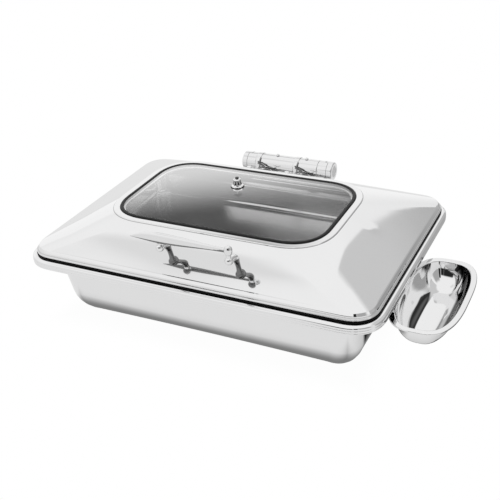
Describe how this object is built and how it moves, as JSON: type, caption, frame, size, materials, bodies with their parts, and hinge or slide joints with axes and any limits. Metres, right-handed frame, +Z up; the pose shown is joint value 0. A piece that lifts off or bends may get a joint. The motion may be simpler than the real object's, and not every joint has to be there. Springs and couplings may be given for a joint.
{
  "type": "roll top chafer",
  "caption": "Rectangular steel chafer with a windowed lid on a damped rear barrel hinge, a lift-out food pan over a water pan, an arched front handle and a side bowl for spoons.",
  "frame": {"origin": "centre of the flat face that the chafer stands on", "axes": "+Z up, -Y to the front with the handle, +Y to the hinge at the back, +X to the side with the spoon bowl"},
  "size_m": [0.673, 0.4392, 0.2147],
  "materials": {
    "polished_steel": "mirror-polished stainless steel",
    "satin_steel": "satin stainless steel",
    "dark_steel": "blackened steel",
    "black_silicone": "matt black silicone",
    "window_glass": "clear tempered glass"
  },
  "bodies": {
    "base": {"water_pan": "polished_steel", "induction_base": "satin_steel", "pan_support_frame": "polished_steel", "rim_seal": "black_silicone", "hinge_bracket": "polished_steel", "hinge_barrel": "polished_steel", "hinge_end_cap_left": "polished_steel", "hinge_end_cap_right": "polished_steel", "barrel_screw_left": "dark_steel", "barrel_screw_right": "dark_steel", "bracket_screw_left": "polished_steel", "bracket_screw_right": "polished_steel", "bowl_bracket": "polished_steel"},
    "lid": {"lid_shell": "polished_steel", "window_gasket": "black_silicone", "window_glass": "window_glass", "window_clamp": "satin_steel", "handle_grip": "polished_steel", "handle_leg_left": "polished_steel", "handle_leg_right": "polished_steel", "handle_nut_left": "polished_steel", "handle_nut_right": "polished_steel", "vent_washer": "black_silicone", "vent_stem": "polished_steel", "vent_nut": "polished_steel", "hinge_shaft": "dark_steel", "damper_cam": "dark_steel", "lid_arm_left": "polished_steel", "lid_arm_right": "polished_steel", "arm_screw_left_outer": "polished_steel", "arm_screw_left_inner": "polished_steel", "arm_screw_right_outer": "polished_steel", "arm_screw_right_inner": "polished_steel"},
    "vent_cap": {"vent_cap": "polished_steel", "vent_cap_screw": "dark_steel"},
    "food_pan": {"food_pan": "satin_steel"},
    "spoon_bowl": {"spoon_bowl": "polished_steel", "bowl_tongue": "polished_steel"},
    "damper_piston": {"damper_piston": "polished_steel"}
  },
  "joints": [
    {"name": "lid_hinge", "type": "hinge", "parent": "base", "child": "lid", "pos_m": [-0.0098, 0.2146, 0.1443], "axis": [-1, 0, 0], "range_deg": [0, 90]},
    {"name": "damper_slide", "type": "slide", "parent": "base", "child": "damper_piston", "axis": [1, 0, 0], "range_m": [0, 0.0085]},
    {"name": "vent_cap_turn", "type": "hinge", "parent": "lid", "child": "vent_cap", "pos_m": [-0.0205, 0.0336, 0.1813], "axis": [0, 0, 1], "range_deg": [0, 90]},
    {"name": "food_pan_lift", "type": "slide", "parent": "base", "child": "food_pan", "axis": [0, 0, 1], "range_m": [0, 0.01]},
    {"name": "spoon_bowl_slide", "type": "slide", "parent": "base", "child": "spoon_bowl", "axis": [1, 0, 0], "range_m": [0, 0.04]}
  ],
  "couplings": [
    {"joint": "damper_slide", "follows": "lid_hinge", "m_per_rad": 0.0051}
  ]
}
